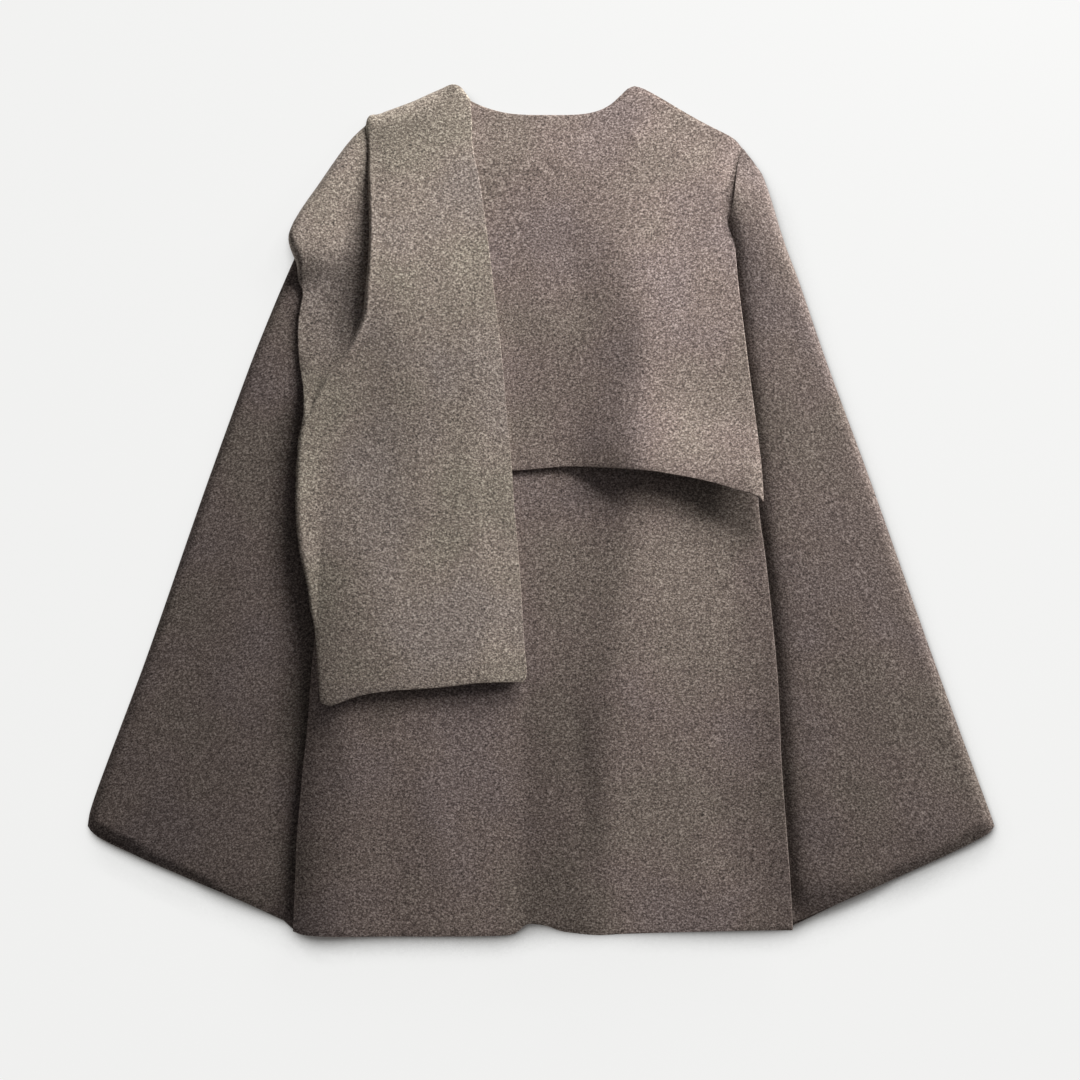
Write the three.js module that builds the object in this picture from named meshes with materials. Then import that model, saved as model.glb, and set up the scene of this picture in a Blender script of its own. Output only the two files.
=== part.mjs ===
// A wool cape coat laid flat, face up, on a table. Millimetres: +X to the right of the
// garment as it lies, +Y from hem to neck, +Z up from the table.
import * as THREE from 'three';

// Driving sizes.
const WALL = 2.5; // double-faced wool
const SEAM_GAP = 0.3; // between pieces that are sewn together
const LAYER_GAP = 0.8; // between a piece and the one that lies loose on it

// Body and sleeves.
const FRONT_LIFT = WALL + SEAM_GAP; // the front rides on the tucked edges of the sleeves
const SHOULDER_RAMP = 60; // length over which the front rises from the shoulder seam
const EDGE_ROUND = 10; // width over which the front's left edge rolls down
const LEFT_BANK = { height: 14, width: 125, lift: 5.5, top: 480, length: 200 }; // rise from the left edge
const RIGHT_SIDE = { rise: 5, width: 50, top: 720, length: 320 }; // the right edge, up on the sleeve
const SLEEVE_LOFT = {
  left: { rise: 6, inner: 50, tilt: 0.3 }, // tilt is the share that is lost towards the overarm
  right: { rise: 10, inner: 15, tilt: 0.5 },
};
const OVERARM_ROUND = 14; // how fast a sleeve's front comes down at the overarm fold
const SLEEVE_FLAT = 2; // a sleeve's front lies flat this far beside the body's edge
const SLEEVE_FULL = 90; // where a sleeve is narrower than this, it is lofted less
const SLEEVE_TOP = 825; // height of the sleeve head above the hem
const CUFF_TOP = 110.5; // height of the cuff's outer corner above the hem
const CUFF_REACH = 474.5; // half the width over both cuffs

// Capelet.
const FLARE = 14; // how far the capelet's hem stands off the front
const FLARE_LENGTH = 66; // how fast that dies out towards the neck
const FLARE_RISE = { from: 24, width: 92 }; // where the flare grows, from left to right
const FLARE_FALL = { from: 188, width: 42 }; // where it dies out again
const EDGE_TURN = { drop: 3.4, width: 14, from: 772, length: 26 }; // the edge at the sleeve head

// Scarf.
const SCARF_LOFT = { rise: 16, from: 470, length: 230, top: 865, fade: 200 }; // it stands up at the crease
const LOFT_ACROSS = { share: 0.85, power: 2.2 }; // how much of that is lost on the way to the right edge
const SCARF_HEM_LIFT = { rise: 8, from: 330, length: 85 }; // its lower edge stands off the front
const SCARF_ROLL = 22; // radius of the roll over the shoulder seam
const WING_ROLL = 20; // radius of the roll over the sleeve head
const WING_CREST = { rise: 10, edge: 0.1, power: 1.3 }; // highest beside its free edge, low at the crease
const WING_GAP = LAYER_GAP + 0.4; // between the wing and the sleeve head
const SEAM_REST = { rise: 2, from: 815, length: 45 }; // it stands up on the sewn edges at the shoulder
const CREASE = { from: 700, length: 130, width: 0.085 }; // where it opens out, its step's share of the fall
const CREASE_FOOT = 0.065; // where the crease's line meets the lower edge, as a part of that edge
const HEM_STEP = 95; // length over which the scarf comes down from the capelet's hem
const SIDE_STEP = 60; // and from the capelet's left edge
const ROLL_END = 1; // height at which both rolls end, beside the back
const NECK_END = { height: 10.5, from: -104, width: 16 }; // the scarf's corner, on top of the neck edges

// Outlines, all of them rows of [x, y].
const NECK = [
  [-92, 880.5], [-81, 877], [-74.5, 872.5], [-62, 866.5], [-40, 860], [-18, 857.2], [6.5, 856.8],
  [26.5, 856.8], [44, 858], [61, 862], [73.5, 868.5], [84, 878], [91.5, 885], [98, 887.5],
];
const SHOULDER_RIGHT = [
  [98, 887.5], [106, 885.5], [125, 875.5], [146, 863], [167, 851], [191, 838.5], [203, 831.5], [212.5, 821],
];
const OVERARM_RIGHT = [
  [212.5, 821], [222.5, 806.5], [231, 793], [239.5, 767.5], [249, 736], [256, 715], [268, 683.5],
  [297, 599.5], [343.5, 473.5], [410.5, 284.5], [468.5, 127], [474.5, 110.5],
];
const CUFF_RIGHT = [[474.5, 110.5], [469.5, 104], [366.5, 54.5], [263.5, 5]];
const HEM = [
  [-259, 0.5], [-247, -3], [-150, -3.4], [-53.5, -3], [-33.5, -2], [-26.5, 0], [-21, 5], [-14, 9.5],
  [-5.5, 9.5], [7.5, 7.5], [20, 3], [33.5, 1], [60, -1], [82, 0], [180, 2], [263, 3.5],
];
const CUFF_LEFT = [[-474.5, 110.5], [-468.5, 102], [-364.5, 54], [-260.5, 6.5]];
const OVERARM_LEFT = [
  [-192, 829.5], [-206, 814], [-220.5, 790.5], [-232, 769.5], [-241.5, 744.5], [-252.5, 717], [-262.5, 694],
  [-276, 662.5], [-301.5, 599.5], [-347.5, 473.5], [-413.5, 284.5], [-471.5, 127], [-474.5, 110.5],
];
const SHOULDER_LEFT = [
  [-192, 829.5], [-172, 848], [-149, 859], [-132, 865], [-115.5, 871.5], [-92, 880.5],
];
const FRONT_NECK_AND_SHOULDERS = [
  [-148, 854], [-132, 860.5], [-115.5, 866.5], [-96, 873], [-82, 871], [-74, 867.3], [-62, 863.5],
  [-40, 859], [-18, 856.8], [6.5, 856.5], [26.5, 856.5], [44, 857.5], [61, 861], [77.5, 868.3],
  [87, 874.6], [99, 879.6], [110, 879.6], [120, 874.6], [136.5, 865], [152, 856.8], [166, 849.5],
];
const FRONT_LEFT_EDGE = [
  [-178, 834], [-183, 790], [-190, 750], [-199, 705], [-209, 637], [-218, 552], [-226, 477],
  [-231, 397], [-235, 320], [-239.5, 273], [-244, 213], [-248, 177.5], [-255, 102], [-259, 0.5],
];
const FRONT_RIGHT_EDGE = [
  [184, 838], [186, 790], [190, 750], [199, 705], [209.5, 637], [219.5, 552], [226, 477], [228.5, 437],
  [234, 397], [238.5, 357], [247, 266.5], [251, 179.5], [254, 136.5], [257.5, 92], [260.5, 49.5], [263, 3.5],
];
const CAPELET_RIGHT_EDGE = [
  [210.5, 822.5], [207, 811.5], [203.7, 794], [200.6, 767.5], [199.5, 753], [202.7, 718], [205.8, 680.5],
  [211, 637.5], [216.3, 594.5], [221.6, 552.5], [225.8, 517.5], [229.6, 477], [231, 450],
];
const CAPELET_LEFT_EDGE = [[-148, 854], [-138, 700], [-128, 570], [-120, 480]];
const CAPELET_HEM = [
  [-120, 480], [-75, 481], [-30.5, 483], [-14.5, 484], [10.5, 486.2], [32.5, 487.2], [64, 486.2], [96.5, 484],
  [118.5, 482], [139.5, 478.3], [160.5, 474.6], [182.5, 469.4], [203.5, 463], [218.5, 459], [226, 455.5],
  [231, 450],
];
const SLEEVE_LEFT_INNER = [
  [-187, 825], [-188, 808], [-191, 785], [-194.5, 752], [-184, 730], [-182, 695], [-188, 637], [-197, 552],
  [-205, 477], [-211, 397], [-216, 320], [-222, 266], [-233, 136], [-246, 50], [-256, 6.5],
];
const SLEEVE_RIGHT_INNER = [
  [212.3, 820.5], [208.2, 811.5], [205, 794], [202.2, 768], [198, 746], [189, 720], [186, 690], [190, 637],
  [199, 552], [207, 477], [211, 437], [218, 357], [228, 266], [238, 136], [250, 49.5], [259, 6],
];
// The scarf's underside: its own wall stands outside this line where it rolls over an edge.
const SCARF_TOP = [
  [-182, 845], [-179, 854.5], [-171, 855.5], [-160, 859.5], [-149, 863.5], [-132, 870], [-115.5, 877.5],
  [-104, 882.5], [-97, 885.5], [-91.5, 886.5], [-86.5, 885], [-81.5, 879], [-77.5, 873.5], [-75.5, 871],
];
const SCARF_WING_TOP = [
  [-262.5, 731], [-256.5, 745.5], [-246, 762.5], [-236, 776.5], [-224, 794], [-212, 811.5],
  [-196.5, 831.5], [-182, 845],
];
const SCARF_CREASE = [
  [-182, 845], [-183.5, 813.8], [-183.5, 789.6], [-183, 765.5], [-182.5, 729.8], [-184.5, 690], [-187, 667],
  [-189, 645.8], [-195, 625.8], [-206, 604.8], [-220, 582], [-232, 562], [-240, 535], [-240, 500],
  [-238, 450], [-234, 400], [-226, 330],
];
const SCARF_LEFT_EDGE = [
  [-262.5, 731], [-262.3, 723.4], [-259.4, 714], [-256.2, 706.6], [-254, 701.4], [-252, 681.5],
  [-249.3, 669.9], [-252.5, 650], [-254.1, 635.3], [-254, 612], [-252, 592.2], [-247.8, 566],
  [-247.8, 537.6], [-253, 509.3], [-254.6, 480.9], [-255.2, 454.7], [-254.2, 428.4], [-251, 398],
  [-244.7, 370.7], [-239.4, 338.1], [-235.2, 313.9], [-232, 277.2], [-229, 240],
];
const SCARF_HEM = [
  [-229, 240], [-220.5, 237.3], [-213.2, 239.4], [-196.4, 245.7], [-180.6, 249.9], [-149.1, 254.1],
  [-128.1, 255.2], [-100.8, 257.3], [-63, 261.5], [-19, 262.5],
];
const SCARF_RIGHT_EDGE = [
  [-75.5, 871], [-73.5, 854.7], [-72.5, 824.3], [-65.1, 786.5], [-58.8, 744.5], [-53, 698.3], [-48.8, 664.7],
  [-44.1, 625.8], [-39.9, 585.9], [-35.7, 535.5], [-32.6, 505], [-30.5, 479.9], [-28.4, 444.2], [-24.2, 398],
  [-21, 353.9], [-17.9, 303.5], [-15.8, 267.8], [-19, 262.5],
];

// The seam line along neck and shoulders, by distance from the middle: [x, y].
const SHOULDER_LINE = [
  [0, 857], [60, 861], [98, 882], [125, 872], [167, 848], [191, 837], [212, 821], [260, 760],
];

// Folds. x and height are given at three levels of y, from the neck down. A fold's slopes are
// steepest at its crest, whose rounding is a radius, and die out over its left and right spreads.
const FOLD_LEVELS = [840, 600, 0];
const FRONT_FOLDS = [
  { fold: 'centre ridge', x: [92, 106, 60], height: [1, 16, 11], crest: 20, spreads: [56, 110] },
  { fold: 'left ridge', x: [-150, -155, -140], height: [1.5, 3, 0], crest: 40, spreads: [42, 62] },
  { fold: 'centre valley', x: [-20, -24, -18], height: [0, -1, -2.4], crest: 8, spreads: [26, 18] },
];
const SCARF_LEVELS = [800, 520, 260];
const SCARF_FOLDS = [
  { fold: 'left curl', x: [-256, -264, -250], height: [0, 9, 3], crest: 6, spreads: [18, 36] },
  { fold: 'middle trough', x: [-130, -140, -140], height: [0, -1.5, -1], crest: 20, spreads: [30, 40] },
  { fold: 'right ridge', x: [-85, -72, -62], height: [0.5, 3.5, 4], crest: 24, spreads: [66, 24] },
];

const smooth = (t) => THREE.MathUtils.smoothstep(t, 0, 1);
const lerp = THREE.MathUtils.lerp;

/** Value at x in rows of [x, value] that rise or fall in x, held at both ends. */
function tableAt(rows, x) {
  const rising = rows[0][0] < rows[rows.length - 1][0];
  const ordered = rising ? rows : [...rows].reverse();
  if (x <= ordered[0][0]) return ordered[0][1];
  for (let i = 1; i < ordered.length; i += 1) {
    const [x0, value0] = ordered[i - 1];
    const [x1, value1] = ordered[i];
    if (x <= x1) return lerp(value0, value1, (x - x0) / (x1 - x0));
  }
  return ordered[ordered.length - 1][1];
}

/** The x of an edge at height y, from its rows of [x, y]. */
const edgeAt = (rows, y) => tableAt(rows.map(([edgeX, edgeY]) => [edgeY, edgeX]), y);

/** A smooth curve through rows of [x, y]. */
function curveThrough(rows) {
  const points = rows.map(([x, y]) => new THREE.Vector3(x, y, 0));
  const curve = new THREE.CatmullRomCurve3(points, false, 'centripetal');
  curve.arcLengthDivisions = 600;
  return curve;
}

/** The sum of the folds in a table at one point of a panel. */
function foldHeight(folds, levels, x, y) {
  const [top, middle, bottom] = levels;
  let sum = 0;
  for (const { x: line, height, crest: radius, spreads: [leftSpread, rightSpread] } of folds) {
    const upper = y > middle;
    const t = upper ? smooth((top - y) / (top - middle)) : smooth((middle - y) / (middle - bottom));
    const centre = upper ? lerp(line[0], line[1], t) : lerp(line[1], line[2], t);
    const crest = upper ? lerp(height[0], height[1], t) : lerp(height[1], height[2], t);
    const offset = x - centre;
    const spread = offset < 0 ? leftSpread : rightSpread;
    sum += crest * Math.exp((radius - Math.hypot(radius, offset)) / spread);
  }
  return sum;
}

/** How much of a panel's relief is left at a distance from its rolled edge: none at the edge itself. */
function edgeShare(distance) {
  const t = THREE.MathUtils.clamp(distance / EDGE_ROUND, 0, 1);
  return Math.sqrt(1 - (1 - t) ** 2);
}

/** Underside of the body: low along neck and shoulders, then up on the sleeves' edges, with its folds. */
function bodyLevel(x, y, fromEdge = EDGE_ROUND) {
  const rise = smooth((tableAt(SHOULDER_LINE, Math.abs(x)) - y) / SHOULDER_RAMP);
  const fromLeft = (x - edgeAt(FRONT_LEFT_EDGE, y)) / LEFT_BANK.width;
  const fromRight = (edgeAt(FRONT_RIGHT_EDGE, y) - x) / RIGHT_SIDE.width;
  const grown = smooth((LEFT_BANK.top - y) / LEFT_BANK.length);
  const across = THREE.MathUtils.clamp(fromLeft, 0, 1);
  const bank = LEFT_BANK.height * across * (2 - across) * grown;
  const lift = LEFT_BANK.lift * (1 - smooth(fromLeft)) * grown;
  const side = RIGHT_SIDE.rise * (1 - THREE.MathUtils.clamp(fromRight, 0, 1)) ** 2;
  const sideShare = smooth((RIGHT_SIDE.top - y) / RIGHT_SIDE.length);
  const relief = (foldHeight(FRONT_FOLDS, FOLD_LEVELS, x, y) + bank) * edgeShare(fromEdge);
  return WALL + SEAM_GAP + rise * (FRONT_LIFT + relief + lift + side * sideShare);
}

/** Underside of the front, with its left edge rolled down. */
const frontUnder = (x, y) => bodyLevel(x, y, x - edgeAt(FRONT_LEFT_EDGE, y));

/** Underside of the capelet: on the front, its hem flared and its edge turned down at the sleeve head. */
function capeletUnder(x, y) {
  const fromEdge = edgeAt(CAPELET_RIGHT_EDGE, y) - x;
  const aboveHem = y - tableAt(CAPELET_HEM, x);
  const growing = smooth((x - FLARE_RISE.from) / FLARE_RISE.width);
  const dying = smooth((x - FLARE_FALL.from) / FLARE_FALL.width);
  const flare = FLARE * growing * (1 - dying) * Math.exp(-((aboveHem / FLARE_LENGTH) ** 2));
  const atHead = smooth((y - EDGE_TURN.from) / EDGE_TURN.length);
  const turn = EDGE_TURN.drop * atHead * smooth(1 - fromEdge / EDGE_TURN.width);
  return bodyLevel(x, y) + WALL + LAYER_GAP + flare - turn;
}

/** Underside of a sleeve's front: flat where it is tucked in and at the overarm, lofted between. */
function sleeveUnder(bodyEdge, overarm, { rise, inner: innerRise, tilt }) {
  return (x, y) => {
    const inner = Math.abs(edgeAt(bodyEdge, y)) + SLEEVE_FLAT;
    const cuff = lerp(inner, CUFF_REACH, Math.max(y, 0) / CUFF_TOP);
    const outer = y > CUFF_TOP ? Math.abs(edgeAt(overarm, y)) : cuff;
    const inside = Math.max(Math.abs(x) - inner, 0);
    const outside = Math.max(outer - Math.abs(x), 0);
    const fromShoulder = smooth((SLEEVE_TOP - y) / SHOULDER_RAMP);
    const fromCuff = y > CUFF_TOP ? 1 : smooth((outer - inner) / CUFF_TOP);
    const dome = (1 - Math.exp(-inside / innerRise)) * (1 - Math.exp(-outside / OVERARM_ROUND));
    const tilted = 1 - (tilt * inside) / Math.max(inside + outside, 1);
    const full = smooth((outer - inner) / SLEEVE_FULL);
    return WALL + SEAM_GAP + rise * fromShoulder * fromCuff * dome * tilted * full;
  };
}

/** Underside of the scarf where it lies on the front, and on the capelet where that is under it. */
function scarfRest(x, y) {
  const overHem = smooth((y - tableAt(CAPELET_HEM, x) + HEM_STEP) / HEM_STEP);
  const overEdge = smooth((x - edgeAt(CAPELET_LEFT_EDGE, y) + SIDE_STEP) / SIDE_STEP);
  const overSeam = SEAM_REST.rise * smooth((y - SEAM_REST.from) / SEAM_REST.length);
  return bodyLevel(x, y) + WALL + LAYER_GAP + overHem * overEdge * (WALL + LAYER_GAP) + overSeam;
}

/** A patch between four curves that meet at their ends; rows run down, columns run across. */
function patchBetween(top, bottom, left, right) {
  const corner = {
    topLeft: top.getPointAt(0),
    topRight: top.getPointAt(1),
    bottomLeft: bottom.getPointAt(0),
    bottomRight: bottom.getPointAt(1),
  };
  return (across, down) => {
    const point = new THREE.Vector3();
    point.addScaledVector(top.getPointAt(across), 1 - down);
    point.addScaledVector(bottom.getPointAt(across), down);
    point.addScaledVector(left.getPointAt(down), 1 - across);
    point.addScaledVector(right.getPointAt(down), across);
    point.addScaledVector(corner.topLeft, -(1 - across) * (1 - down));
    point.addScaledVector(corner.topRight, -across * (1 - down));
    point.addScaledVector(corner.bottomLeft, -(1 - across) * down);
    point.addScaledVector(corner.bottomRight, -across * down);
    return point;
  };
}

/** A closed wall over a grid of underside points (rows of Vector3), thickened along its normals. */
function wallOver(grid) {
  const rows = grid.length;
  const columns = grid[0].length;
  const positions = [];
  const addLayer = (thickness) => {
    for (let r = 0; r < rows; r += 1) {
      for (let c = 0; c < columns; c += 1) {
        const along = grid[r][Math.min(c + 1, columns - 1)].clone().sub(grid[r][Math.max(c - 1, 0)]);
        const upwards = grid[Math.max(r - 1, 0)][c].clone().sub(grid[Math.min(r + 1, rows - 1)][c]);
        const normal = along.cross(upwards).normalize();
        positions.push(...grid[r][c].clone().addScaledVector(normal, thickness).toArray());
      }
    }
  };
  addLayer(0);
  addLayer(WALL);
  const under = (r, c) => r * columns + c;
  const over = (r, c) => rows * columns + under(r, c);
  const faces = [];
  const quad = (a, b, c, d) => faces.push(a, b, c, a, c, d);
  for (let r = 0; r < rows - 1; r += 1) {
    for (let c = 0; c < columns - 1; c += 1) {
      quad(over(r, c), over(r + 1, c), over(r + 1, c + 1), over(r, c + 1));
      quad(under(r, c), under(r, c + 1), under(r + 1, c + 1), under(r + 1, c));
    }
  }
  for (let c = 0; c < columns - 1; c += 1) {
    quad(over(0, c), over(0, c + 1), under(0, c + 1), under(0, c));
    quad(under(rows - 1, c), under(rows - 1, c + 1), over(rows - 1, c + 1), over(rows - 1, c));
  }
  for (let r = 0; r < rows - 1; r += 1) {
    quad(under(r, 0), under(r + 1, 0), over(r + 1, 0), over(r, 0));
    quad(over(r, columns - 1), over(r + 1, columns - 1), under(r + 1, columns - 1), under(r, columns - 1));
  }
  const geometry = new THREE.BufferGeometry();
  geometry.setAttribute('position', new THREE.Float32BufferAttribute(positions, 3));
  geometry.setIndex(faces);
  geometry.computeVertexNormals();
  return geometry;
}

/** A panel between four outlines, lying at the height that under(x, y) gives. */
function panel({ top, bottom, left, right }, columns, rows, under) {
  const patch = patchBetween(...[top, bottom, left, right].map(curveThrough));
  const place = (across, down) => {
    const { x, y } = patch(across, down);
    return new THREE.Vector3(x, y, under(x, y));
  };
  return wallOver(rows.map((down) => columns.map((across) => place(across, down))));
}

/** Even parts of a width or length, from 0 to 1, with closer ones at the ends that roll down. */
function parts(count, startRoll = [], endRoll = []) {
  const even = Array.from({ length: count + 1 }, (_, i) => i / count);
  const closer = [...startRoll, ...endRoll.map((part) => 1 - part)];
  const clear = 0.35 / count;
  const kept = even.filter((t) => t === 0 || t === 1 || closer.every((part) => Math.abs(part - t) > clear));
  return [...kept, ...closer].sort((a, b) => a - b);
}

/** The back: one flat piece with the sleeve backs, from its whole outline. */
function backGeometry() {
  const sides = [
    [NECK, 28], [SHOULDER_RIGHT, 14], [OVERARM_RIGHT, 24], [CUFF_RIGHT, 12], [[...HEM].reverse(), 36],
    [[...CUFF_LEFT].reverse(), 12], [[...OVERARM_LEFT].reverse(), 24], [SHOULDER_LEFT, 12],
  ];
  const outline = sides.flatMap(([rows, steps]) => curveThrough(rows).getSpacedPoints(steps));
  const apart = 0.5; // where two sides share an end, one point is kept
  const corners = outline.filter((point, i) => point.distanceTo(outline.at(i - 1)) > apart);
  const shape = new THREE.Shape(corners.map(({ x, y }) => new THREE.Vector2(x, y)));
  return new THREE.ExtrudeGeometry(shape, { depth: WALL, bevelEnabled: false });
}

/** How far the crease has opened out into a plain slope at height y: 0 at the shoulder, 1 below. */
const creaseOpening = (y) => smooth((CREASE.from - y) / CREASE.length);

/** Height of the wing beside the crease. */
const wingLevel = (x, y) => frontUnder(x, y) + WALL + WING_GAP;

/** Height of the scarf's main fall; across runs from the crease to the right edge. */
function fallHeight(x, y, across) {
  const towardsNeck = smooth((y - SCARF_LOFT.from) / SCARF_LOFT.length);
  const fromNeck = smooth((SCARF_LOFT.top - y) / SCARF_LOFT.fade);
  const fallen = 1 - (1 - THREE.MathUtils.clamp(across, 0, 1)) ** LOFT_ACROSS.power;
  const loft = SCARF_LOFT.rise * towardsNeck * fromNeck * (1 - LOFT_ACROSS.share * fallen);
  const hemLift = SCARF_HEM_LIFT.rise * smooth((SCARF_HEM_LIFT.from - y) / SCARF_HEM_LIFT.length);
  const level = scarfRest(x, y) + loft + hemLift + foldHeight(SCARF_FOLDS, SCARF_LEVELS, x, y);
  const step = (1 - creaseOpening(y)) * smooth(1 - across / CREASE.width);
  return lerp(level, wingLevel(x, y), step);
}

/** Height of the wing; across runs from its free edge to the crease. */
function wingHeight(x, y, across) {
  const rounded = edgeShare((EDGE_ROUND * across) / WING_CREST.edge);
  const crest = WING_CREST.rise * (1 - across) ** WING_CREST.power * rounded * (1 - creaseOpening(y));
  return lerp(wingLevel(x, y) + crest, fallHeight(x, y, 0), creaseOpening(y) * smooth(across));
}

/** The scarf: a wing over the sleeve head and the main fall beside it, one cloth with a crease between. */
function scarfGeometry() {
  const hem = curveThrough(SCARF_HEM);
  const foot = hem.getPointAt(CREASE_FOOT);
  const crease = curveThrough([...SCARF_CREASE, [foot.x, foot.y]]);
  const hemPart = (from, to) => ({ getPointAt: (t) => hem.getPointAt(lerp(from, to, t)) });
  const wing = patchBetween(
    curveThrough(SCARF_WING_TOP), hemPart(0, CREASE_FOOT), curveThrough(SCARF_LEFT_EDGE), crease,
  );
  const fall = patchBetween(
    curveThrough(SCARF_TOP), hemPart(CREASE_FOOT, 1), crease, curveThrough(SCARF_RIGHT_EDGE),
  );
  const endAt = (x) => lerp(ROLL_END, NECK_END.height, smooth((x - NECK_END.from) / NECK_END.width));
  const place = (patch, across, radius, heightAt, { roll, down }) => {
    const probe = 0.05;
    const radiusShare = (radius * probe) / patch(across, 0).distanceTo(patch(across, probe));
    const { x, y } = patch(across, roll < 1 ? roll * radiusShare : lerp(radiusShare, 1, down));
    const arch = Math.sqrt(1 - (1 - roll) ** 2);
    return new THREE.Vector3(x, y, lerp(endAt(x), heightAt(x, y, across), arch));
  };
  const rollRows = [0, 0.05, 0.2, 0.45, 0.75, 1].map((roll) => ({ roll, down: 0 }));
  const flatRows = parts(30).slice(1).map((down) => ({ roll: 1, down }));
  const wingColumns = [0, 0.3, 0.55, 0.78, 0.93];
  const fallColumns = [0, 0.018, 0.045, 0.08, 0.13, 0.2, 0.29, 0.38, 0.47, 0.56, 0.65, 0.74, 0.83, 0.92, 1];
  const fallRoll = (across) => lerp(WING_ROLL, SCARF_ROLL, smooth(across * 6));
  return wallOver([...rollRows, ...flatRows].map((row) => [
    ...wingColumns.map((across) => place(wing, across, WING_ROLL, wingHeight, row)),
    ...fallColumns.map((across) => place(fall, across, fallRoll(across), fallHeight, row)),
  ]));
}

const WOOL = { roughness: 0.95, metalness: 0 };
const coat = new THREE.Group();

function addPiece(name, geometry, colour) {
  const mesh = new THREE.Mesh(geometry, new THREE.MeshStandardMaterial({ color: colour, ...WOOL }));
  mesh.name = name;
  coat.add(mesh);
}

addPiece('back', backGeometry(), '#756c64');

const leftSleeve = {
  top: [OVERARM_LEFT[0], SLEEVE_LEFT_INNER[0]],
  bottom: [...CUFF_LEFT.slice(0, -1), [-256, 6.5]],
  left: OVERARM_LEFT,
  right: SLEEVE_LEFT_INNER,
};
const leftUnder = sleeveUnder(FRONT_LEFT_EDGE, OVERARM_LEFT, SLEEVE_LOFT.left);
const leftColumns = parts(14, [0.02, 0.05]);
addPiece('sleeve_front_left', panel(leftSleeve, leftColumns, parts(26), leftUnder), '#5b534d');

const rightSleeve = {
  top: [SLEEVE_RIGHT_INNER[0], OVERARM_RIGHT[0]],
  bottom: [[259, 6], [366.5, 54.5], [469.5, 104], [474.5, 110.5]],
  left: SLEEVE_RIGHT_INNER,
  right: OVERARM_RIGHT,
};
const rightUnder = sleeveUnder(FRONT_RIGHT_EDGE, OVERARM_RIGHT, SLEEVE_LOFT.right);
const rightColumns = parts(20, [], [0.02]);
addPiece('sleeve_front_right', panel(rightSleeve, rightColumns, parts(26), rightUnder), '#6e655d');

const frontPanel = {
  top: [FRONT_LEFT_EDGE[0], [-165, 843], ...FRONT_NECK_AND_SHOULDERS, [176, 843.5], FRONT_RIGHT_EDGE[0]],
  bottom: HEM,
  left: FRONT_LEFT_EDGE,
  right: FRONT_RIGHT_EDGE,
};
const frontColumns = parts(28, [0.0025, 0.009, 0.02]);
addPiece('front', panel(frontPanel, frontColumns, parts(22), frontUnder), '#70665e');

const capeletPanel = {
  top: [...FRONT_NECK_AND_SHOULDERS, [176.5, 845], [191, 838], [202.7, 831], CAPELET_RIGHT_EDGE[0]],
  bottom: CAPELET_HEM,
  left: CAPELET_LEFT_EDGE,
  right: CAPELET_RIGHT_EDGE,
};
const capeletColumns = parts(22, [], [0.004, 0.013, 0.028]);
addPiece('capelet', panel(capeletPanel, capeletColumns, parts(17), capeletUnder), '#8d837a');
addPiece('scarf', scarfGeometry(), '#8b8278');

// The origin is under the middle of the garment, on the table.
const box = new THREE.Box3().setFromObject(coat);
const middle = box.getCenter(new THREE.Vector3());
for (const mesh of coat.children) mesh.position.set(-middle.x, -middle.y, -box.min.z);

export default coat;
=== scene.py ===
"""A wool cape coat laid flat, face up: its cloth, its felled edges and its finish.

Lengths in the tables are millimetres in the coat's own frame: x to the right of the coat as
it lies, y from hem to neck, z up from the table. Blender's meshes are in metres, in the row
frame, which LAID_AT and MM give.
"""

import logging
import math
from dataclasses import dataclass, field
from enum import Enum
from typing import Callable

import bpy
import numpy as np
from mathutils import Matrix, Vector


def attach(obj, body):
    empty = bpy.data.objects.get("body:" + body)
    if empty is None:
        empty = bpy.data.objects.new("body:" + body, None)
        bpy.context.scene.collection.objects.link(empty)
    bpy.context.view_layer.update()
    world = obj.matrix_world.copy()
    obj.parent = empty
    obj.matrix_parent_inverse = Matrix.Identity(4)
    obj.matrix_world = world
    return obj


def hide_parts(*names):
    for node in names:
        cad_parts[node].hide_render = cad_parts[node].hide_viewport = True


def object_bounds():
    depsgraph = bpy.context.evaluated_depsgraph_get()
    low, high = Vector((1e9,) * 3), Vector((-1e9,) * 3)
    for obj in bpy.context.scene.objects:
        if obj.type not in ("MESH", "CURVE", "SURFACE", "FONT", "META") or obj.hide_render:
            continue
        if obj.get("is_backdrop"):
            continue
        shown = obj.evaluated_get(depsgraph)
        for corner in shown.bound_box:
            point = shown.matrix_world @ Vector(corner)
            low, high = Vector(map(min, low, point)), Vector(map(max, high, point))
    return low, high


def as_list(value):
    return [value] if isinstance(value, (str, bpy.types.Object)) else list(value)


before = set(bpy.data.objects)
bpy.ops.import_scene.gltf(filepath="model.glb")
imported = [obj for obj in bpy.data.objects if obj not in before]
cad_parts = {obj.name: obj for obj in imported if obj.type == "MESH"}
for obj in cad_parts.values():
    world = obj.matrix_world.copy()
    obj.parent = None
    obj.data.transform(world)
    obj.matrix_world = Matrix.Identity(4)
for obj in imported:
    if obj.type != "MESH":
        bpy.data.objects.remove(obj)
CAD_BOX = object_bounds()

Array = np.ndarray
Rows = list[tuple[float, float]]
Height = Callable[[Array, Array], Array]

log = logging.getLogger("coat")

MM = 0.001
LAID_AT = (0.0, -441.65, 0.0)  # the row frame's origin is under the middle of the coat

WALL = 2.5  # double-faced wool
SEAM_GAP = 0.3  # between pieces that are sewn together
LAYER_GAP = 0.8  # between a piece and the one that lies loose on it

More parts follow.
